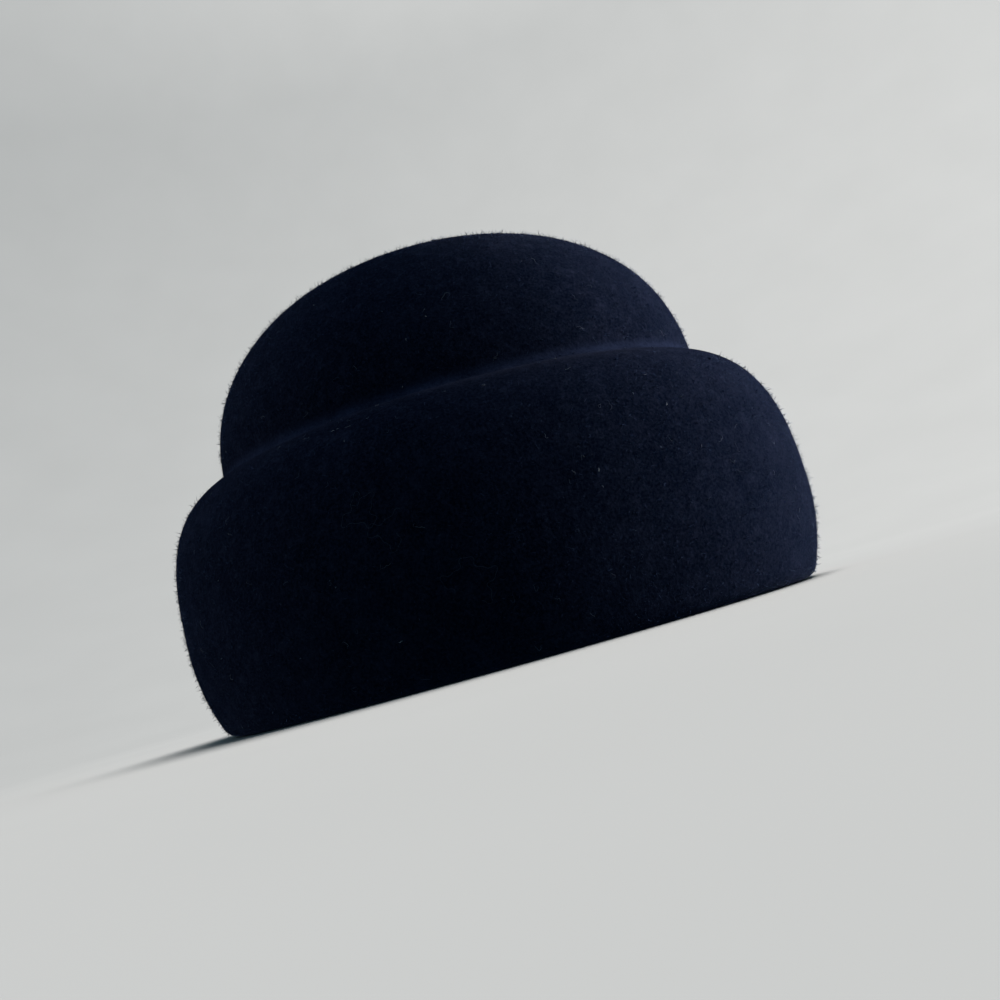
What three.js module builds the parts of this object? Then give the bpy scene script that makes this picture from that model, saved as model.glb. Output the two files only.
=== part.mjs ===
// A sailor hat blocked from one piece of navy wool felt: a domed crown that steps out over a moulded
// crease to a full, cuff-like band, with the lower edge turned in to a soft lip. The hat stands on
// that lip with its front towards -Y. Millimetres, +Z up, origin on the surface below its middle.

import * as THREE from 'three';
import { mergeVertices } from 'three/addons/utils/BufferGeometryUtils.js';

// Driving dimensions. A reach is the half length of the hat, from its middle axis to its front.
const FELT = 2.5;
const LIP_REACH = 98;
const OVAL = 16;

const TURN_RADIUS = 5.5;

const FULL_REACH = 112;
const FULL_HEIGHT = 34;
const WALL_RADIUS = 85;

const SHOULDER = { wide: 36, tall: 51, power: 2.7 };

const CREASE_REACH = 87.5;
const CREASE_TURN = 3;

const CROWN = { tall: 66.5, power: 2.25 };

// Fineness of the facets: steps along each stretch of the section, and steps round the hat.
const STEPS = { turn: 4, wall: 3, shoulder: 8, crease: 3, crown: 11, lip: 3 };
const STEPS_ROUND = 64;

const QUARTER = Math.PI / 2;

// A quarter of a superellipse, from its side (angle 0) towards its top (a quarter turn).
function superellipse(wide, tall, power, angle) {
  const across = wide * Math.cos(angle) ** (2 / power);
  const up = tall * Math.sin(angle) ** (2 / power);
  return new THREE.Vector2(across, up);
}

function sampled(steps, from, to, pointAt) {
  const points = [];
  for (let i = 0; i <= steps; i += 1) {
    points.push(pointAt(THREE.MathUtils.lerp(from, to, i / steps)));
  }
  return points;
}

// The shoulder is a superellipse that rises from the fullest place of the band, and its middle lies
// one shoulder width inside the fullest reach.
const shoulderMiddle = new THREE.Vector2(FULL_REACH - SHOULDER.wide, FULL_HEIGHT);

function shoulderAt(angle) {
  return superellipse(SHOULDER.wide, SHOULDER.tall, SHOULDER.power, angle).add(shoulderMiddle);
}

// The angle at which the shoulder has come in to a given reach.
function shoulderAngle(reach) {
  const share = (reach - shoulderMiddle.x) / SHOULDER.wide;
  return Math.acos(share ** (SHOULDER.power / 2));
}

const creaseHeight = shoulderAt(shoulderAngle(CREASE_REACH)).y;

function crownAt(angle) {
  const point = superellipse(CREASE_REACH, CROWN.tall, CROWN.power, angle);
  return point.setY(point.y + creaseHeight);
}

// The angle at which the crown has risen by a given height above the crease.
function crownAngle(rise) {
  return Math.asin((rise / CROWN.tall) ** (CROWN.power / 2));
}

// The outer face of the felt in section, from the lip's flat underside up to the tip of the crown.
function outerLine() {
  // The turned edge rolls inside the wall's larger arc, and the two meet at one tangent.
  const wallMiddle = new THREE.Vector2(FULL_REACH - WALL_RADIUS, FULL_HEIGHT);
  const drop = FULL_HEIGHT - TURN_RADIUS;
  const turnReach = wallMiddle.x + Math.sqrt((WALL_RADIUS - TURN_RADIUS) ** 2 - drop ** 2);
  const meeting = -Math.atan2(drop, turnReach - wallMiddle.x);

  const turn = new THREE.EllipseCurve(turnReach, TURN_RADIUS, TURN_RADIUS, TURN_RADIUS, -QUARTER, meeting);
  const wall = new THREE.EllipseCurve(wallMiddle.x, wallMiddle.y, WALL_RADIUS, WALL_RADIUS, meeting, 0);
  const shoulder = sampled(STEPS.shoulder, 0, shoulderAngle(CREASE_REACH + CREASE_TURN), shoulderAt);
  const crown = sampled(STEPS.crown, crownAngle(CREASE_TURN), QUARTER, crownAt);
  const crease = new THREE.QuadraticBezierCurve(
    shoulder.at(-1),
    new THREE.Vector2(CREASE_REACH, creaseHeight),
    crown[0],
  );

  return [
    new THREE.Vector2(LIP_REACH + FELT / 2, 0),
    ...turn.getPoints(STEPS.turn),
    ...wall.getPoints(STEPS.wall).slice(1),
    ...shoulder.slice(1),
    ...crease.getPoints(STEPS.crease).slice(1),
    ...crown.slice(1, -1),
    new THREE.Vector2(0, creaseHeight + CROWN.tall),
  ];
}

// The inner face lies one felt thickness inside the outer one, square to it.
function innerLine(outer) {
  return outer.map((point, i) => {
    if (point.x === 0) {
      return new THREE.Vector2(0, point.y - FELT);
    }
    const before = outer[Math.max(i - 1, 0)];
    const after = outer[i + 1];
    const along = after.clone().sub(before).normalize();
    return new THREE.Vector2(point.x - along.y * FELT, point.y + along.x * FELT);
  });
}

// The cut edge of the lip, a half round that joins the inner face to the outer one.
function lipEdge() {
  const half = FELT / 2;
  const edge = new THREE.EllipseCurve(LIP_REACH + half, half, half, half, QUARTER, 3 * QUARTER);
  return edge.getPoints(STEPS.lip).slice(1, -1);
}

// A round hat pressed to a head's oval: above the crease the sides come in by the same share of the
// reach, and from the crease down by the same distance, so that the felt keeps its thickness.
function pressToOval(geometry) {
  const at = geometry.attributes.position;
  for (let i = 0; i < at.count; i += 1) {
    const reach = Math.hypot(at.getX(i), at.getY(i));
    if (reach > 0) {
      const side = reach - OVAL * Math.min(1, reach / CREASE_REACH);
      at.setX(i, at.getX(i) * (side / reach));
    }
  }
}

function feltGeometry() {
  const outer = outerLine();
  const inner = innerLine(outer);
  const section = [...inner.reverse(), ...lipEdge(), ...outer];
  const turned = new THREE.LatheGeometry(section, STEPS_ROUND);
  turned.rotateX(QUARTER);
  pressToOval(turned);
  turned.deleteAttribute('normal');
  turned.deleteAttribute('uv');
  const geometry = mergeVertices(turned);
  geometry.computeVertexNormals();
  return geometry;
}

const navyFelt = new THREE.MeshStandardMaterial({ color: 0x141a2b, roughness: 0.96, metalness: 0 });

const feltBody = new THREE.Mesh(feltGeometry(), navyFelt);
feltBody.name = 'felt_body';

const sailorHat = new THREE.Group();
sailorHat.name = 'sailor_hat';
sailorHat.add(feltBody);

export default sailorHat;
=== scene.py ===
"""A sailor hat blocked from one piece of navy wool felt, standing on its lip on a pale sweep: the felt
itself, the nap that lies and stands on it, and a little lint. Metres, +Z up, the hat's front to -Y."""

import math

import bpy
import numpy as np
from mathutils import Matrix, Vector


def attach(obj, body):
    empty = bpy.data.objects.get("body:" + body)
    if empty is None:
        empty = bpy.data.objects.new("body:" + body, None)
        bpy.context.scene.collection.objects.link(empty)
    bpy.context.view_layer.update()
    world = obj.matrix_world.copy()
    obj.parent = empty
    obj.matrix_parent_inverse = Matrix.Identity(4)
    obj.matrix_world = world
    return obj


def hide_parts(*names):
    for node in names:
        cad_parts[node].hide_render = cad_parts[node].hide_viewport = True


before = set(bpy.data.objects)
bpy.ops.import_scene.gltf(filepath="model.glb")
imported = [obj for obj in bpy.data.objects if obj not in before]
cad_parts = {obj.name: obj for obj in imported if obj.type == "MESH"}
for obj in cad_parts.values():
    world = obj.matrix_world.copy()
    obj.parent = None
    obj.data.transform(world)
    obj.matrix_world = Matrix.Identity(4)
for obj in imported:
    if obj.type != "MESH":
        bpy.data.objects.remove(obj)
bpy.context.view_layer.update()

MM = 0.001
FULL_TURN = 2 * math.pi
QUARTER = math.pi / 2
TINY = 1e-12

# Sizes of the blocked felt in millimetres. A reach is the half length, from the middle axis to the front.
FELT = 2.5
LIP_REACH = 98.0
OVAL = 16.0
TURN_RADIUS = 5.5
FULL_REACH = 112.0
FULL_HEIGHT = 34.0
WALL_RADIUS = 85.0
SHOULDER = {"wide": 36.0, "tall": 51.0, "power": 2.7}
CREASE_REACH = 87.5
CREASE_TURN = 3.0
CROWN = {"tall": 66.5, "power": 2.25}

# Felt drawn over a block by hand goes in and out a little, in waves round the hat: how deep in millimetres,
# how many round it, where they start in radians, and the millimetres of height that shift them by a radian.
BLOCKING_WAVES = (
    {"deep": 0.30, "round": 2, "start": 0.7, "shift": 50},
    {"deep": 0.22, "round": 3, "start": 2.1, "shift": -33},
    {"deep": 0.12, "round": 7, "start": 4.0, "shift": 19},
    {"deep": 0.08, "round": 11, "start": 1.3, "shift": -14},
)

# In millimetres, the waves have grown from none at the rest by the first height and are gone at the second,
# fading over the stretch below it. Within the still reach, the very tip has none.
WAVES_GROWN = 16
WAVES_GONE = 150
WAVES_FADE = 30
STILL_REACH = 0.5

# A painted highlight lies in a soft line along the crease's fold: its middle above the crease and half its
# width.
CREASE_HIGHLIGHT_RISE = 1.2
CREASE_HIGHLIGHT_HALF = 2.1

# How far clouds in the dye shift that painted highlight, which of their values break it up, how much the
# matted wool's grain and a plain share count in it, and how much lighter its nap is painted.
CREASE_HIGHLIGHT_SHIFT = 2.0
CREASE_HIGHLIGHT_CLOUDS = {"low": 0.16, "high": 0.68}
CREASE_HIGHLIGHT_GRAIN = 0.9
CREASE_HIGHLIGHT_PLAIN = 0.2
CREASE_HIGHLIGHT_TONE = 0.18

# The fold presses most of the nap flat: how far below and above the crease, and over what height this fades.
PRESSED_SHARE = 0.95
PRESSED_BELOW = 11
PRESSED_BELOW_FADE = 6
PRESSED_ABOVE = 5
PRESSED_ABOVE_FADE = 3

# Points along each stretch of the section, and along a whole section that places are measured on.
SECTION_POINTS = {"arc": 80, "shoulder": 160, "corner": 40, "crown": 400}
MEASURED_POINTS = 600

# Steps of the felt's grid: along the section outside, inside and round the lip's edge, and round the hat.
ROWS = {"outside": 220, "inside": 90, "lip": 9}
ROUND = 256

# The margins of the maps that colours are kept on, and half a strand's width on its map.
FELT_MARGIN = 0.005
STRAND_MARGIN = 0.02
STRAND_HALF = 0.006

# The nap in millimetres and degrees: how many fibres, how long, their radius, how far they lift off the
# felt, how far they stray from hanging straight down, how much they curl, the points along each, and how
# light their dye is from 0 to 1.
NAP = {
    "short_nap_a": {"count": 45000, "long": (0.45, 1.0), "radius": (0.026, 0.042), "lift": (8, 50),
                    "stray": 180, "curl": 0, "points": 2, "light": (0.0, 1.0), "seed": 11},
    "short_nap_b": {"count": 45000, "long": (0.45, 1.0), "radius": (0.026, 0.042), "lift": (8, 50),
                    "stray": 180, "curl": 0, "points": 2, "light": (0.0, 1.0), "seed": 12},
    "long_nap": {"count": 16000, "long": (0.8, 2.0), "radius": (0.028, 0.042), "lift": (5, 50),
                 "stray": 90, "curl": 80, "points": 3, "light": (0.0, 1.0), "seed": 13},
    "curled_nap": {"count": 3600, "long": (1.2, 3.2), "radius": (0.034, 0.054), "lift": (6, 30),
                   "stray": 180, "curl": 75, "points": 6, "light": (0.5, 1.0), "seed": 14},
    "standing_nap": {"count": 16500, "long": (0.7, 2.4), "radius": (0.052, 0.100), "lift": (40, 90),
                     "stray": 180, "curl": 50, "points": 3, "light": (0.3, 0.9), "seed": 15},
    "fine_fuzz": {"count": 18000, "long": (0.4, 1.5), "radius": (0.028, 0.046), "lift": (40, 90),
                  "stray": 180, "curl": 0, "points": 2, "light": (0.3, 0.9), "seed": 16},
}

# A fibre's root lies this deep, it keeps this share of its lift from point to point, and it stays this far
# above the rest. The powers make long, lifted and light fibres rarer than short, low and dark ones.
ROOT_DEPTH = 0.08
LIFT_KEPT = 0.7
NAP_CLEARANCE = 0.12
FEW_LONG = 1.7
FEW_LIFTED = 1.5
FEW_LIGHT = 2.2

# Pills, the little tangles that the wool's surface is rubbed into, in millimetres: how many, the strands in
# each, how far across, a strand's radius, the points along it, the turns that it makes, how much of its
# depth is matted away, and how light its dye is.
PILLS = {"count": 420, "strands": 3, "across": (0.7, 2.0), "radius": (0.060, 0.095), "points": 5,
         "turns": (0.6, 1.1), "matted": 0.7, "light": (0.35, 0.95), "seed": 31}

# A pill's middle is raised by a share of its size, its radius swells and shrinks about a mean share, and it
# stays this far above the rest. The power makes large pills rarer than small ones.
PILL_RAISED = 0.06
PILL_MEAN = 0.75
PILL_SWELL = 0.25
PILL_CLEARANCE = 0.15
FEW_LARGE = 1.5

# Fluff that clings to the felt, in millimetres and degrees: how many, how long, the radius, how far each is
# bent over its whole length, how much it wriggles, the points along each, the sides round it, and how pale
# it is from 0 to 1.
FLUFF = {
    "loose_hairs": {"count": 260, "long": (1.6, 4.8), "radius": (0.036, 0.075), "bend": (20, 250),
                    "wriggle": 40, "points": 9, "sides": 3, "light": (0.0, 0.35), "seed": 21},
    "lint_specks": {"count": 60, "long": (0.4, 1.3), "radius": (0.07, 0.17), "bend": (0, 90),
                    "wriggle": 20, "points": 4, "sides": 5, "light": (0.0, 1.0), "seed": 22},
    "stray_threads": {"count": 5, "long": (26.0, 48.0), "radius": (0.026, 0.036), "bend": (240, 440),
                      "wriggle": 55, "points": 90, "sides": 4, "light": (0.05, 0.15), "seed": 23},
}

# Where some of it clings, as degrees round from the front and millimetres up the section from the lip.
CLINGING = {
    "loose_hairs": [(280, 104), (310, 52), (311, 45), (325, 49), (328, 27), (228, 64), (231, 48), (246, 40),
                    (300, 55)],
    "lint_specks": [(250, 86), (249, 86), (297, 70), (302, 65), (264, 117), (269, 123), (246, 41),
                    (280, 104)],
    "stray_threads": [(253, 57), (266, 31), (256, 49), (60, 45), (150, 130)],
}

# The stretch of the section, in millimetres up from the lip, that the middles of fluff and its ends keep to,
# and the reach that turns its millimetres round the hat into an angle.
FLUFF_MIDDLES = (8, 220)
FLUFF_ENDS = (7, 223)
FLUFF_REACH = {"up": (0, 100, 224), "reach": (105, 88, 6)}

# A hair's wriggles: how many waves it has, with one more for each so many millimetres of its length, and a
# shorter, weaker wave on top of the long one.
HAIR_WAVES = (0.4, 1.2)
HAIR_WAVE_LENGTH = 14
HAIR_WRIGGLES = ({"shorter": 1.0, "share": 1.0}, {"shorter": 2.7, "share": 0.6})

# A hair arches off the felt by this many millimetres, over this stretch of half a wave.
HAIR_ARCH = (0.05, 0.35)
HAIR_ARCH_SPAN = (0.1, 0.9)

# Small steps round in radians and up in millimetres that a slope on the felt is found from.
SMALL_TURN = 0.002
SMALL_RISE = 0.3

# A strand thins towards this share of its radius on the way to its tip, which is a point, and is steep where
# this much of its direction is upright.
STRAND_TAPER = 0.5
STEEP = 0.8

# The colours of the wool, which is matted felt, nap and pills, or pale fluff, of a painted highlight on the
# felt along the crease's fold, and of the sweep's paper.
FELT_COLOURS = {"dark": (0.0013, 0.0031, 0.0095), "light": (0.0155, 0.0196, 0.0400),
                "painted_highlight": (0.0180, 0.0256, 0.0580), "sheen": (0.60, 0.68, 1.0)}
NAVY_FIBRE = {"root": (0.0032, 0.0060, 0.0155), "dark": (0.0052, 0.0090, 0.0225),
              "light": (0.0330, 0.0450, 0.0870)}
PALE_FLUFF = {"root": (0.035, 0.044, 0.070), "dark": (0.030, 0.040, 0.070), "light": (0.36, 0.37, 0.38)}
PAPER = {"dark": (0.42, 0.425, 0.415), "light": (0.45, 0.455, 0.445)}

# How much each pattern in the felt lightens it, and how far it stands out. The felt is rough, a little less
# so where it is matted.
LIGHTENING = {"matted": 0.54, "tufts": 0.28, "curls": 0.25, "cloud": 0.46}
RELIEF = {"matted": 0.8, "tufts": 0.35, "curls": 0.30}
FELT_ROUGH = 0.98
MATTED_ROUGH = -0.16

# A noise's middle value, and the numbers of a colour Mix node's sockets.
NOISE_MIDDLE = 0.5
MIX_FACTOR = 0
MIX_FIRST = 6
MIX_SECOND = 7
MIX_RESULT = 2

# The sweep in metres: how far it is flat, the radius it turns up in, the heights of its wall, its steps
# along the flat, along the curve and round, and how far it lies below the rest.
SWEEP = {"flat": 0.7, "radius": 1.8, "wall": (3.0, 4.0), "flat_steps": 7, "curve_steps": 32,
         "steps_round": 96, "below": 0.0002}

# The studio panels in metres and watts, with the spread of their light in degrees and what each one lights.
WARM = (1.0, 0.94, 0.88)
COOL = (0.72, 0.86, 1.0)
PLAIN = (1.0, 0.961, 0.946)
PANELS = {
    "window_panel": {"place": (0.16, -1.15, 0.21), "target": (0, 0, 0.08), "size": (0.70, 0.30),
                     "power": 22.5, "spread": 140, "colour": WARM, "lights": "hat"},
    "behind_panel": {"place": (1.10, -0.70, 0.95), "target": (0, 0, 0.10), "size": (0.70, 0.70),
                     "power": 3.2, "spread": 140, "colour": COOL, "lights": "hat"},
    "top_panel": {"place": (-0.10, 0.0, 1.25), "target": (0, 0, 0.10), "size": (0.60, 0.60),
                  "power": 2.3, "spread": 140, "colour": COOL, "lights": "hat"},
    "left_panel": {"place": (0.30, 1.10, 0.05), "target": (0, 0, 0.06), "size": (0.60, 0.30),
                   "power": 7.0, "spread": 140, "colour": WARM, "lights": "hat"},
    "sweep_panel": {"place": (0.20, -1.05, 3.50), "target": (0.6, -0.3, 0), "size": (2.4, 2.4),
                    "power": 218.0, "spread": 180, "colour": PLAIN, "lights": "sweep"},
}
ROOM_COLOUR = (0.40, 0.77, 1.0)
ROOM_STRENGTH = 0.165

# The camera, on the hat's side: its place and the point it shows at a pixel of the picture, in metres, the
# picture's turn in degrees, and the focal length in pixels of a picture of that many across.
CAMERA = {"place": (-0.350, 0.0, 0.008), "target": (0, 0, 0.0841), "pixel": (463, 433), "roll": 15.4,
          "focal": 966, "picture": 1000}
SENSOR = 36.0
NEAREST = 0.005
FARTHEST = 20.0


def unit(vectors):
    """Each vector divided by its length."""
    return vectors / np.maximum(np.linalg.norm(vectors, axis=-1, keepdims=True), TINY)


def between(limits, share):
    """The values at shares from 0 to 1 of the way between two limits."""
    return limits[0] + (limits[1] - limits[0]) * share


def superellipse(wide, tall, power, angle):
    """A quarter superellipse: across = wide cos(angle)^(2/power), up = tall sin(angle)^(2/power)."""
    across = wide * np.clip(np.cos(angle), 0, 1) ** (2 / power)
    up = tall * np.clip(np.sin(angle), 0, 1) ** (2 / power)
    return np.stack([across, up], -1)


def shoulder_at(angle):
    """The shoulder in section, a superellipse that rises from the fullest place of the band."""
    return np.array([FULL_REACH - SHOULDER["wide"], FULL_HEIGHT]) + superellipse(angle=angle, **SHOULDER)


def shoulder_angle(reach):
    """The angle at which the shoulder has come in to a reach."""
    share = (reach - FULL_REACH + SHOULDER["wide"]) / SHOULDER["wide"]
    return math.acos(share ** (SHOULDER["power"] / 2))


# The crease is where the shoulder has come in to its reach.
CREASE_HEIGHT = float(shoulder_at(shoulder_angle(CREASE_REACH))[1])


def arc(middle, radius, start, end, count=SECTION_POINTS["arc"]):
    """Points at equal angles on a circle about the middle."""
    angle = np.linspace(start, end, count)[:, None]
    return np.asarray(middle) + radius * np.hstack([np.cos(angle), np.sin(angle)])


def soft_corner(start, corner, end):
    """A quadratic curve that leaves start towards the corner and arrives at end from it."""
    t = np.linspace(0, 1, SECTION_POINTS["corner"])[:, None]
    return (1 - t) ** 2 * start + 2 * t * (1 - t) * corner + t ** 2 * end


def measured(line):
    """The distance along a line from its start to each of its points."""
    return np.concatenate([[0], np.cumsum(np.linalg.norm(np.diff(line, axis=0), axis=1))])


def even_steps(line, count):
    """The line again, as count points at equal distances along it."""
    far = measured(line)
    at = np.linspace(0, far[-1], count)
    return np.stack([np.interp(at, far, line[:, k]) for k in (0, 1)], -1)


def felt_outside(count):
    """The felt's outer face in section as (reach, height): the lip's flat, a small arc, the band's large arc
    tangent to it, the shoulder's superellipse, a soft corner in the crease and the crown's superellipse."""
    drop = FULL_HEIGHT - TURN_RADIUS
    wall_reach = FULL_REACH - WALL_RADIUS
    turn_reach = wall_reach + math.sqrt((WALL_RADIUS - TURN_RADIUS) ** 2 - drop ** 2)
    meeting = -math.atan2(drop, turn_reach - wall_reach)
    shoulder_end = shoulder_angle(CREASE_REACH + CREASE_TURN)
    shoulder = shoulder_at(np.linspace(0, shoulder_end, SECTION_POINTS["shoulder"]))
    crease = np.array([CREASE_REACH, CREASE_HEIGHT])
    crown_start = math.asin((CREASE_TURN / CROWN["tall"]) ** (CROWN["power"] / 2))
    crown_angles = np.linspace(crown_start, QUARTER, SECTION_POINTS["crown"])
    crown = np.array([0, CREASE_HEIGHT]) + superellipse(wide=CREASE_REACH, angle=crown_angles, **CROWN)
    return even_steps(np.vstack([
        [[LIP_REACH + FELT / 2, 0.0]],
        arc((turn_reach, TURN_RADIUS), TURN_RADIUS, -QUARTER, meeting),
        arc((wall_reach, FULL_HEIGHT), WALL_RADIUS, meeting, 0)[1:],
        shoulder[1:],
        soft_corner(shoulder[-1], crease, crown[0])[1:],
        crown[1:],
    ]), count)


def felt_inside(outside):
    """The inner face: each outer point moved square to the line by the felt's thickness, the tip straight
    down."""
    along = unit(np.gradient(outside, axis=0))
    along[-1] = (-1, 0)
    return outside + FELT * np.stack([-along[:, 1], along[:, 0]], -1)


def lip_edge(count):
    """The lip's cut edge, half a circle of the felt's thickness from the inner face to the outer one."""
    half = FELT / 2
    return arc((LIP_REACH + half, half), half, QUARTER, 3 * QUARTER, count + 2)[1:-1]


def hand_blocking(turn, height):
    """The small in and out of felt drawn over a block by hand, in millimetres: the sum of slow waves round
    the hat that shift with the height, none at the rest and none at the tip."""
    grown = np.clip(height / WAVES_GROWN, 0, 1) ** 2
    fade = np.clip((WAVES_GONE - height) / WAVES_FADE, 0, 1)
    wave = 0
    for row in BLOCKING_WAVES:
        wave = wave + row["deep"] * np.sin(row["round"] * turn + row["start"] + height / row["shift"])
    return wave * grown * fade


def pressed_round(reach, height, turn):
    """Places of the section turned about the middle axis and pressed to a head's oval: y follows the reach,
    and x the reach less OVAL, which fades in from the middle axis to the crease."""
    waved = np.maximum(reach + hand_blocking(turn, height) * (reach > STILL_REACH), 0)
    side = waved - OVAL * np.minimum(1, waved / CREASE_REACH)
    return MM * np.stack([side * np.sin(turn), -waved * np.cos(turn), height + 0 * turn], -1)


def put_mesh(name, points, faces, material, corner_map=None):
    """An object at the origin from points and faces, smooth, with the map that its colours are kept on."""
    mesh = bpy.data.meshes.new(name)
    mesh.from_pydata(points, [], faces)
    mesh.polygons.foreach_set("use_smooth", np.ones(len(mesh.polygons), bool))
    if corner_map is not None:
        layer = mesh.uv_layers.new(name="OFBake")
        layer.uv.foreach_set("vector", np.asarray(corner_map, np.float32).ravel())
    mesh.materials.append(material)
    mesh.update()
    piece = bpy.data.objects.new(name, mesh)
    bpy.context.scene.collection.objects.link(piece)
    return piece


def felt_map(rows):
    """The map of the felt's skin, corner by corner: u goes once round the hat and v along the section, for
    the four corners of each face of the grid and then for the triangles at the two tips."""
    u = np.linspace(FELT_MARGIN, 1 - FELT_MARGIN, ROUND + 1)
    v = np.linspace(FELT_MARGIN, 1 - FELT_MARGIN, rows + 2)
    left = np.broadcast_to(u[:-1], (rows - 1, ROUND))
    right = np.broadcast_to(u[1:], (rows - 1, ROUND))
    below = np.broadcast_to(v[1:-2, None], left.shape)
    above = np.broadcast_to(v[2:-1, None], left.shape)
    quads = np.stack([left, below, right, below, right, above, left, above], -1)

    def tip_triangles(tip, row, first, second):
        middle = (u[1:] + u[:-1]) / 2
        level = np.full(ROUND, row)
        return np.stack([middle, np.full(ROUND, tip), first, level, second, level], -1)

    low = tip_triangles(v[0], v[1], u[1:], u[:-1])
    high = tip_triangles(v[-1], v[-2], u[:-1], u[1:])
    return np.vstack([part.reshape(-1, 2) for part in (quads, low, high)])


def felt_shell(material):
    """The whole felt as one closed skin: the inner face from its tip down, the lip's edge and the outer face
    up to its tip, carried round the oval, with one point at each tip."""
    outside = felt_outside(ROWS["outside"])
    inside = even_steps(felt_inside(felt_outside(MEASURED_POINTS)), ROWS["inside"])
    line = np.vstack([inside[::-1], lip_edge(ROWS["lip"]), outside])
    turn = np.linspace(0, FULL_TURN, ROUND, endpoint=False)
    skin = pressed_round(line[1:-1, :1], line[1:-1, 1:], turn)
    rows = len(skin)
    tips = np.array([[0, 0, line[0, 1]], [0, 0, line[-1, 1]]]) * MM
    points = np.vstack([skin.reshape(-1, 3), tips])

    at = np.arange(rows * ROUND).reshape(rows, ROUND)
    following = np.roll(at, -1, axis=1)
    quads = np.stack([at[:-1], following[:-1], following[1:], at[1:]], -1).reshape(-1, 4)
    low = np.stack([np.full(ROUND, at.size), following[0], at[0]], -1)
    high = np.stack([np.full(ROUND, at.size + 1), at[-1], following[-1]], -1)
    faces = quads.tolist() + low.tolist() + high.tolist()
    return put_mesh("felt", points, faces, material, felt_map(rows))


def outer_skin():
    """The outer face as a grid that ends where it began, with its outward and upward directions at each
    point."""
    turn = np.linspace(0, FULL_TURN, ROUND + 1)
    line = felt_outside(ROWS["outside"])[:-1]
    skin = pressed_round(line[:, :1], line[:, 1:], turn)
    rise = unit(np.gradient(skin, axis=0))
    around = np.gradient(skin, axis=1)
    around[:, [0, -1]] = (skin[:, 1] - skin[:, -2])[:, None]
    return skin, unit(np.cross(around, rise)), rise


def scatter(rng, count):
    """Places spread evenly over the outer face: a grid cell drawn by its share of the area, then a place in
    it. Gives the place and the outward, upward and sideways directions there."""
    skin, out, rise = outer_skin()
    diagonals = np.cross(skin[1:, 1:] - skin[:-1, :-1], skin[1:, :-1] - skin[:-1, 1:])
    area = np.linalg.norm(diagonals, axis=-1)
    share = np.cumsum(area.ravel())
    cell = np.searchsorted(share, rng.random(count) * share[-1]).clip(0, area.size - 1)
    row, column = np.divmod(cell, area.shape[1])
    a, b = rng.random((2, count, 1))

    def in_cell(grid):
        low = grid[row, column] * (1 - b) + grid[row, column + 1] * b
        high = grid[row + 1, column] * (1 - b) + grid[row + 1, column + 1] * b
        return low * (1 - a) + high * a

    outward = unit(in_cell(out))
    upward = in_cell(rise)
    upward = unit(upward - outward * (upward * outward).sum(-1, keepdims=True))
    return in_cell(skin), outward, upward, np.cross(upward, outward)


def strand_faces(many, steps, sides):
    """The triangles of many strands: two for each side of each step, a fan to the tip and a cap on the
    root."""
    count = sides * (steps - 1) + 1
    j = np.arange(sides)
    k = (j + 1) % sides
    row = sides * np.arange(steps - 2)[:, None]
    last = count - 1 - sides
    one = np.concatenate([
        np.stack([row + j, row + k, row + sides + k], -1).reshape(-1, 3),
        np.stack([row + j, row + sides + k, row + sides + j], -1).reshape(-1, 3),
        np.stack([last + j, last + k, np.full(sides, count - 1)], -1),
        np.stack([np.zeros(sides - 2, int), j[2:], j[1:-1]], -1),
    ])
    return (one[None] + count * np.arange(many)[:, None, None]).reshape(-1, 3)


def strand_mesh(name, paths, radii, tones, material, sides=3):
    """Many strands at once, each a ring of a few sides carried along its path, closed by a cap at the root,
    thinning on the way and drawn to one point at the tip. The tone and the place along it are
    attributes."""
    many, steps, _ = paths.shape
    along = unit(np.gradient(paths, axis=1))
    flank = unit(np.cross(along, np.where(np.abs(along[..., 2:]) > STEEP, [1.0, 0, 0], [0, 0, 1.0])))
    other = np.cross(along, flank)
    angle = FULL_TURN * np.arange(sides) / sides
    taper = radii[:, None] * np.linspace(1, STRAND_TAPER, steps)[None]
    ring = flank[:, :, None] * np.cos(angle)[:, None] + other[:, :, None] * np.sin(angle)[:, None]
    rings = paths[:, :-1, None] + ring[:, :-1] * taper[:, :-1, None, None]
    points = np.concatenate([rings.reshape(many, -1, 3), paths[:, -1:]], axis=1)
    faces = strand_faces(many, steps, sides)

    count = points.shape[1]
    place = np.append(np.repeat(np.arange(steps - 1) / (steps - 1), sides), 1.0)
    width = np.append(np.tile(np.linspace(-STRAND_HALF, STRAND_HALF, sides), steps - 1), 0.0)
    span = 1 - 2 * STRAND_MARGIN
    spot = np.stack([
        np.broadcast_to(STRAND_MARGIN + span * place, (many, count)),
        (STRAND_MARGIN + span * tones[:, None] + width).clip(0, 1),
    ], -1).reshape(-1, 2)
    piece = put_mesh(name, points.reshape(-1, 3), faces, material, spot[faces.ravel()])
    tone = piece.data.attributes.new("tone", "FLOAT", "POINT")
    tone.data.foreach_set("value", np.repeat(tones, count).astype(np.float32))
    far = piece.data.attributes.new("along", "FLOAT", "POINT")
    far.data.foreach_set("value", np.tile(place, many).astype(np.float32))
    return piece


def painted_highlight_line(height):
    """The painted highlight along the crease's fold at a height in millimetres: a bell curve about a line
    above it.
    """
    return np.exp(-((height - CREASE_HEIGHT - CREASE_HIGHLIGHT_RISE) / CREASE_HIGHLIGHT_HALF) ** 2)


def pressed_flat(height):
    """How flat the fold of the crease presses the nap at a height in millimetres: 1 close to it, fading to 0
    over some millimetres below and above."""
    below = np.clip((height - CREASE_HEIGHT + PRESSED_BELOW) / PRESSED_BELOW_FADE, 0, 1)
    above = np.clip((CREASE_HEIGHT + PRESSED_ABOVE - height) / PRESSED_ABOVE_FADE, 0, 1)
    return below * above


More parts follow.
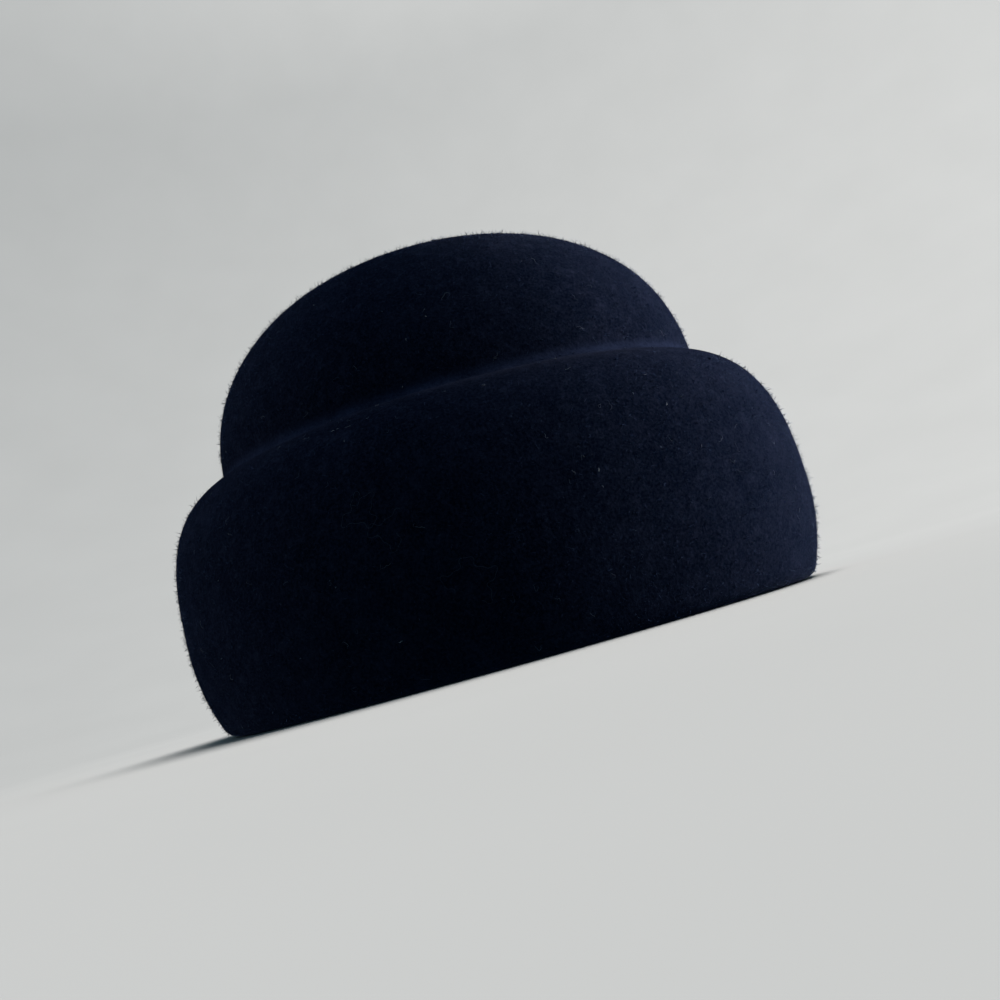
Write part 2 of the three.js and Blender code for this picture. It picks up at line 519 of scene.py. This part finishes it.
def nap(name, material, count, long, radius, lift, stray, curl, points, light, seed):
    """Fibres rooted just under the outer face. Each leaves it at its own lift, heading down the hat within
    its own stray, and a longer one turns by its curl at each point. Those on the line of the crease's
    painted highlight are painted lighter too, most are pressed into the felt near the crease, and none
    reaches below the rest."""
    rng = np.random.default_rng(seed)
    root, outward, upward, sideways = scatter(rng, count)
    size = MM * between(long, rng.random((count, 1)) ** FEW_LONG)
    heading = np.radians(stray * rng.uniform(-1, 1, (count, 1)))
    raised = np.radians(between(lift, rng.random((count, 1)) ** FEW_LIFTED))
    bend = np.radians(curl * rng.uniform(-1, 1, (count, 1)))
    paths = [root - ROOT_DEPTH * MM * outward]
    for step in range(points - 1):
        lying = -upward * np.cos(heading) + sideways * np.sin(heading)
        toward = lying * np.cos(raised) + outward * np.sin(raised)
        paths.append(paths[-1] + toward * (size / (points - 1) + ROOT_DEPTH * MM * (step == 0)))
        heading = heading + bend
        raised = raised * LIFT_KEPT
    paths = np.stack(paths, 1)
    clear = paths[..., 2].min(1) > NAP_CLEARANCE * MM
    radii = MM * rng.uniform(*radius, count)
    tones = between(light, rng.random(count) ** FEW_LIGHT)
    # The painted highlight along the crease reaches the nap: the tone of fibres rooted on its line is
    # raised.
    tones = np.clip(tones + CREASE_HIGHLIGHT_TONE * painted_highlight_line(root[:, 2] / MM), 0, 1)
    clear &= rng.random(count) > PRESSED_SHARE * pressed_flat(root[:, 2] / MM)
    return strand_mesh(name, paths[clear], radii[clear], tones[clear], material)


def pills(material, count, strands, across, radius, points, turns, matted, light, seed):
    """Tangled wool that is matted flat in the nap: each strand goes round its pill's middle by about a turn,
    at a radius that swells and shrinks, in a plane of its own, and all of it is flattened towards the felt.
    None reaches below the rest."""
    rng = np.random.default_rng(seed)
    root, outward, _, _ = scatter(rng, count)
    size = MM * between(across, rng.random((count, 1)) ** FEW_LARGE)
    many = count * strands
    off = np.repeat(outward, strands, axis=0)[:, None]
    middle = np.repeat(root + PILL_RAISED * size * outward, strands, axis=0)
    first = unit(rng.normal(size=(many, 3)))
    second = unit(np.cross(first, rng.normal(size=(many, 3))))
    t = np.linspace(0, 1, points)
    angle = FULL_TURN * (rng.random((many, 1)) + rng.uniform(*turns, (many, 1)) * t)
    swell = PILL_MEAN + PILL_SWELL * np.sin(FULL_TURN * (rng.random((many, 1)) + t))
    half_across = np.repeat(size, strands, axis=0) / 2 * swell
    ring = first[:, None] * np.cos(angle)[..., None] + second[:, None] * np.sin(angle)[..., None]
    ring = ring - matted * off * (ring * off).sum(-1, keepdims=True)
    paths = middle[:, None] + half_across[..., None] * ring
    tones = np.repeat(rng.uniform(*light, count), strands)
    radii = MM * rng.uniform(*radius, many)
    clear = paths[..., 2].min(1) > PILL_CLEARANCE * MM
    return strand_mesh("pills", paths[clear], radii[clear], tones[clear], material)


def on_felt(turn, far):
    """The outer face's place at a turn and at a distance up the section in millimetres, with its outward
    direction, which is square to the two small steps round and up from there."""
    line = felt_outside(MEASURED_POINTS)
    up_line = measured(line)

    def at(turn, far):
        reach = np.interp(far, up_line, line[:, 0])
        height = np.interp(far, up_line, line[:, 1])
        return pressed_round(reach, height, turn)

    around = at(turn + SMALL_TURN, far) - at(turn - SMALL_TURN, far)
    rise = at(turn, far + SMALL_RISE) - at(turn, far - SMALL_RISE)
    return at(turn, far), unit(np.cross(around, rise))


def by_area(rng, count):
    """Distances up the section in millimetres, drawn so that each stretch has its share of the hat's area,
    which goes with its reach."""
    line = felt_outside(MEASURED_POINTS)
    share = np.cumsum(line[:, 0])
    return np.interp(rng.random(count), share / share[-1], measured(line)).clip(*FLUFF_MIDDLES)


def fluff(name, material, count, long, radius, bend, wriggle, points, sides, light, seed):
    """Hairs that lie on the felt: each has its middle at a place, and its heading turns evenly by its bend
    and to and fro by its wriggle, in longer and shorter waves. The steps are summed up in millimetres round
    and up the felt, then laid on it."""
    rng = np.random.default_rng(seed)
    known = np.array(CLINGING[name])
    others = count - len(known)
    turn = np.concatenate([np.radians(known[:, 0]), rng.uniform(0, FULL_TURN, others)])
    far = np.concatenate([known[:, 1], by_area(rng, others)])
    size = rng.uniform(*long, (count, 1))
    t = np.linspace(0, 1, points - 1)
    turned = np.radians(rng.uniform(*bend, (count, 1))) * rng.choice([-1, 1], (count, 1))
    heading = rng.uniform(0, FULL_TURN, (count, 1)) + turned * t
    waves = rng.uniform(*HAIR_WAVES, (count, 1)) + size / HAIR_WAVE_LENGTH
    for row in HAIR_WRIGGLES:
        sway = np.sin(FULL_TURN * (row["shorter"] * waves * t + rng.random((count, 1))))
        heading = heading + row["share"] * np.radians(wriggle) * sway
    steps = np.stack([np.cos(heading), np.sin(heading)], -1) * size[..., None] / (points - 1)
    laid = np.concatenate([np.zeros((count, 1, 2)), np.cumsum(steps, axis=1)], axis=1)
    laid = laid - laid.mean(axis=1, keepdims=True)
    reach = np.interp(far, FLUFF_REACH["up"], FLUFF_REACH["reach"])[:, None]
    up = np.clip(far[:, None] + laid[..., 1], *FLUFF_ENDS)
    place, outward = on_felt(turn[:, None] + laid[..., 0] / reach, up)
    radii = rng.uniform(*radius, count)
    arch = np.sin(math.pi * np.linspace(*HAIR_ARCH_SPAN, points))
    raised = radii[:, None] + rng.uniform(*HAIR_ARCH, (count, 1)) * arch
    paths = place + MM * raised[..., None] * outward
    return strand_mesh(name, paths, MM * radii, rng.uniform(*light, count), material, sides)


def link(tree, start, end):
    """A link from one node's output to another one's input."""
    tree.links.new(start, end)


def node(tree, kind, **values):
    """A node of this kind, with its own settings and its named inputs set."""
    made = tree.nodes.new(kind)
    for name, value in values.items():
        if hasattr(made, name):
            setattr(made, name, value)
        else:
            made.inputs[name.replace("_", " ")].default_value = value
    return made


def scaled(tree, value, low, high):
    """A value spread so that low becomes 0 and high becomes 1, and held there beyond them."""
    made = node(tree, "ShaderNodeMapRange", From_Min=low, From_Max=high)
    link(tree, value, made.inputs["Value"])
    return made.outputs["Result"]


def arithmetic(tree, operation, first, second=None, third=None, clamp=False):
    """A Math node from sockets and plain numbers."""
    made = node(tree, "ShaderNodeMath", operation=operation, use_clamp=clamp)
    for socket, value in zip(made.inputs, (first, second, third)):
        if isinstance(value, (int, float)):
            socket.default_value = value
        elif value is not None:
            link(tree, value, socket)
    return made.outputs[0]


def colour_mix(tree, factor, first, second):
    """A Mix node from the first colour to the second one, each a socket or a plain colour."""
    made = node(tree, "ShaderNodeMix", data_type="RGBA")
    link(tree, factor, made.inputs[MIX_FACTOR])
    for place, colour in ((MIX_FIRST, first), (MIX_SECOND, second)):
        if isinstance(colour, tuple):
            made.inputs[place].default_value = (*colour, 1.0)
        else:
            link(tree, colour, made.inputs[place])
    return made.outputs[MIX_RESULT]


def new_material(name, **values):
    """A material with a Principled BSDF that has these inputs set, its node tree and that shader."""
    material = bpy.data.materials.new(name)
    material.use_nodes = True
    shader = material.node_tree.nodes["Principled BSDF"]
    for socket, value in values.items():
        shader.inputs[socket.replace("_", " ")].default_value = value
    return material, material.node_tree, shader


def painted_highlight_mask(tree, place, cloud, matted):
    """Where the painted highlight along the fold of the crease lies: a bell curve of the height about a line
    above the crease, which the clouds shift a little, broken up by the clouds and the matted wool."""
    split = node(tree, "ShaderNodeSeparateXYZ")
    link(tree, place, split.inputs["Vector"])
    off_middle = arithmetic(tree, "SUBTRACT", cloud, NOISE_MIDDLE)
    rise = arithmetic(tree, "SUBTRACT", split.outputs["Z"], (CREASE_HEIGHT + CREASE_HIGHLIGHT_RISE) * MM)
    rise = arithmetic(tree, "MULTIPLY_ADD", off_middle, CREASE_HIGHLIGHT_SHIFT * MM, rise)
    share = arithmetic(tree, "MULTIPLY", rise, 1.0 / (CREASE_HIGHLIGHT_HALF * MM))
    square = arithmetic(tree, "MULTIPLY", share, share)
    bell = arithmetic(tree, "EXPONENT", arithmetic(tree, "MULTIPLY", square, -1.0))
    grain = arithmetic(tree, "MULTIPLY_ADD", matted, CREASE_HIGHLIGHT_GRAIN, CREASE_HIGHLIGHT_PLAIN)
    patchy = arithmetic(tree, "MULTIPLY", scaled(tree, cloud, **CREASE_HIGHLIGHT_CLOUDS), grain)
    return arithmetic(tree, "MULTIPLY", bell, patchy, clamp=True)


def navy_felt():
    """Deep navy felt: matted wool with grains about a millimetre wide, lighter tufts, fine curled fibres
    drawn as the level lines of a warped noise, slow cloudiness from the dye, a soft relief, a painted
    highlight in a line along the fold of the crease, and a little sheen from the fibre ends."""
    material, tree, shader = new_material(
        "navy_felt", Specular_IOR_Level=0.0, Sheen_Weight=0.008, Sheen_Roughness=0.45,
        Sheen_Tint=(*FELT_COLOURS["sheen"], 1.0))
    place = node(tree, "ShaderNodeTexCoord").outputs["Object"]

    def noise(**values):
        made = node(tree, "ShaderNodeTexNoise", **values)
        link(tree, place, made.inputs["Vector"])
        return made.outputs["Fac"]

    matted = noise(Scale=1150.0, Detail=3.0, Roughness=0.70)
    tufts = scaled(tree, noise(Scale=260.0, Detail=3.0, Roughness=0.60), low=0.50, high=0.74)
    warped = noise(Scale=330.0, Detail=1.0, Roughness=0.50, Distortion=2.4)
    off_level = arithmetic(tree, "ABSOLUTE", arithmetic(tree, "SUBTRACT", warped, NOISE_MIDDLE))
    curls = arithmetic(tree, "MULTIPLY", scaled(tree, off_level, low=0.022, high=0.004), tufts)
    cloud = noise(Scale=70.0, Detail=4.0, Roughness=0.62)

    grains = scaled(tree, matted, low=0.34, high=0.70)
    cloudy = arithmetic(tree, "SUBTRACT", cloud, NOISE_MIDDLE)
    lightness = arithmetic(tree, "MULTIPLY", grains, LIGHTENING["matted"])
    lightness = arithmetic(tree, "MULTIPLY_ADD", tufts, LIGHTENING["tufts"], lightness)
    lightness = arithmetic(tree, "MULTIPLY_ADD", curls, LIGHTENING["curls"], lightness)
    lightness = arithmetic(tree, "MULTIPLY_ADD", cloudy, LIGHTENING["cloud"], lightness, clamp=True)
    wool = colour_mix(tree, lightness, FELT_COLOURS["dark"], FELT_COLOURS["light"])
    # Painted highlight: the felt's colour is lightened in a line along the crease's fold.
    painted_highlight = painted_highlight_mask(tree, place, cloud, matted)
    link(tree, colour_mix(tree, painted_highlight, wool, FELT_COLOURS["painted_highlight"]), shader.inputs["Base Color"])

    rough = arithmetic(tree, "MULTIPLY_ADD", matted, MATTED_ROUGH, FELT_ROUGH)
    link(tree, rough, shader.inputs["Roughness"])

    height = arithmetic(tree, "MULTIPLY", matted, RELIEF["matted"])
    height = arithmetic(tree, "MULTIPLY_ADD", tufts, RELIEF["tufts"], height)
    height = arithmetic(tree, "MULTIPLY_ADD", curls, RELIEF["curls"], height)
    relief = node(tree, "ShaderNodeBump", Strength=0.40, Distance=0.4 * MM)
    link(tree, height, relief.inputs["Height"])
    link(tree, relief.outputs["Normal"], shader.inputs["Normal"])
    return material


def fibre_colour():
    """A node group for wool fibres: the root's colour at a fibre's foot, and towards its tip the fibre's own
    tone between a dark and a light colour. The place along the fibre and the tone are attributes of the
    mesh."""
    group = bpy.data.node_groups.new("fibre_colour", "ShaderNodeTree")
    for name in ("Root", "Dark", "Light"):
        group.interface.new_socket(name, in_out="INPUT", socket_type="NodeSocketColor")
    group.interface.new_socket("Colour", in_out="OUTPUT", socket_type="NodeSocketColor")
    given = group.nodes.new("NodeGroupInput").outputs
    tone = node(group, "ShaderNodeAttribute", attribute_name="tone").outputs["Fac"]
    along = node(group, "ShaderNodeAttribute", attribute_name="along").outputs["Fac"]
    dye = colour_mix(group, tone, given["Dark"], given["Light"])
    colour = colour_mix(group, along, given["Root"], dye)
    link(group, colour, group.nodes.new("NodeGroupOutput").inputs["Colour"])
    return group


def fibre_material(name, group, root, dark, light):
    """A dull wool fibre that lets a little light through and takes its colour from the group."""
    material, tree, shader = new_material(
        name, Roughness=0.8, Specular_IOR_Level=0.0, Subsurface_Weight=1.0,
        Subsurface_Radius=(1.0, 1.0, 1.0), Subsurface_Scale=0.04 * MM)
    colour = node(tree, "ShaderNodeGroup", node_tree=group,
                  Root=(*root, 1.0), Dark=(*dark, 1.0), Light=(*light, 1.0))
    link(tree, colour.outputs["Colour"], shader.inputs["Base Color"])
    return material


def pale_paper():
    """Dull pale paper, a little cloudy."""
    material, tree, shader = new_material("pale_paper", Roughness=0.9, Specular_IOR_Level=0.1)
    cloud = node(tree, "ShaderNodeTexNoise", Scale=6.0, Detail=3.0)
    link(tree, node(tree, "ShaderNodeTexCoord").outputs["Object"], cloud.inputs["Vector"])
    paper = colour_mix(tree, cloud.outputs["Fac"], PAPER["dark"], PAPER["light"])
    link(tree, paper, shader.inputs["Base Color"])
    return material


def pale_sweep(flat, radius, wall, flat_steps, curve_steps, steps_round, below):
    """The floor: a round sheet, flat at first, then turned up all round in a wide quarter circle and carried
    on straight up, as rows of a section carried round."""
    level = np.linspace(0, flat, flat_steps + 1)[1:]
    angle = np.linspace(0, QUARTER, curve_steps + 1)[1:]
    out = np.concatenate([level, flat + radius * np.sin(angle), np.full(len(wall), flat + radius)])
    up = np.concatenate([0 * level, radius - radius * np.cos(angle), wall])
    turn = np.linspace(0, FULL_TURN, steps_round, endpoint=False)
    sheet = np.stack([out[:, None] * np.cos(turn), out[:, None] * np.sin(turn), up[:, None] + 0 * turn], -1)
    points = np.vstack([sheet.reshape(-1, 3), [[0, 0, 0]]]) - [0, 0, below]
    at = np.arange(len(out) * steps_round).reshape(-1, steps_round)
    following = np.roll(at, -1, axis=1)
    quads = np.stack([at[:-1], at[1:], following[1:], following[:-1]], -1).reshape(-1, 4)
    middle = np.stack([np.full(steps_round, at.size), at[0], following[0]], -1)
    floor = put_mesh("pale_sweep", points, quads.tolist() + middle.tolist(), pale_paper())
    floor.visible_diffuse = False
    return floor


def lit_by_choice(name, pieces):
    """The pieces as a group that a panel can be kept to."""
    group = bpy.data.collections.new(name)
    for piece in pieces:
        group.objects.link(piece)
    return group


def soft_light(name, lit, place, target, size, power, spread, colour, lights):
    """A studio panel of a width and a height that faces the target, with a grid that keeps its light within
    the spread in degrees and flags that keep it to the group of pieces that it lights."""
    lamp = bpy.data.lights.new(name, "AREA")
    lamp.shape = "RECTANGLE"
    lamp.size, lamp.size_y = size
    lamp.energy = power
    lamp.color = colour
    lamp.spread = math.radians(spread)
    panel = bpy.data.objects.new(name, lamp)
    panel.location = place
    panel.rotation_mode = "QUATERNION"
    panel.rotation_quaternion = (Vector(target) - Vector(place)).to_track_quat("-Z", "Y")
    panel.visible_camera = False
    bpy.context.scene.collection.objects.link(panel)
    panel.light_linking.receiver_collection = lit[lights]
    return panel


def dim_room():
    """The faint bluish light of the room, from all sides."""
    world = bpy.data.worlds.new("studio")
    world.use_nodes = True
    background = world.node_tree.nodes["Background"]
    background.inputs["Color"].default_value = (*ROOM_COLOUR, 1.0)
    background.inputs["Strength"].default_value = ROOM_STRENGTH
    bpy.context.scene.world = world


def aim_camera(place, target, pixel, roll, focal, picture):
    """A camera at the place that shows the target at the pixel: first straight at the target with the
    picture's up turned by the roll, then swung by the turn that takes the middle of the picture to the
    pixel."""
    lens = bpy.data.cameras.new("side_view")
    lens.sensor_width = SENSOR
    lens.lens = SENSOR * focal / picture
    lens.clip_start = NEAREST
    lens.clip_end = FARTHEST
    camera = bpy.data.objects.new("side_view", lens)
    ahead = (Vector(target) - Vector(place)).normalized()
    level = ahead.cross(Vector((0, 0, 1))).normalized()
    right = Matrix.Rotation(math.radians(roll), 3, ahead) @ level
    up = right.cross(ahead)
    seen = Vector((pixel[0] - picture / 2, picture / 2 - pixel[1], focal)).normalized()
    swing = Vector((0, 0, 1)).rotation_difference(seen).to_matrix()
    axes = swing @ Matrix((right, up, ahead))
    turned = Matrix((axes[0], axes[1], -axes[2])).transposed()
    camera.matrix_world = Matrix.Translation(place) @ turned.to_4x4()
    bpy.context.scene.collection.objects.link(camera)
    bpy.context.scene.camera = camera
    return camera


felt = felt_shell(navy_felt())
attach(felt, "root")
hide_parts("felt_body")

fibres = fibre_colour()
navy_fibre = fibre_material("navy_fibre", fibres, **NAVY_FIBRE)
tufts = [nap(name, navy_fibre, **values) for name, values in NAP.items()]
tufts.append(pills(navy_fibre, **PILLS))
for tuft in tufts:
    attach(tuft, "root")

pale_fluff = fibre_material("pale_fluff", fibres, **PALE_FLUFF)
clinging = [fluff(name, pale_fluff, **values) for name, values in FLUFF.items()]
for piece in clinging:
    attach(piece, "root")

floor = pale_sweep(**SWEEP)
on_hat = lit_by_choice("on_hat", [felt, *tufts, *clinging])
on_floor = lit_by_choice("on_floor", [floor])
for name, values in PANELS.items():
    soft_light(name, {"hat": on_hat, "sweep": on_floor}, **values)
dim_room()
bpy.context.scene.view_settings.view_transform = "Standard"
aim_camera(**CAMERA)
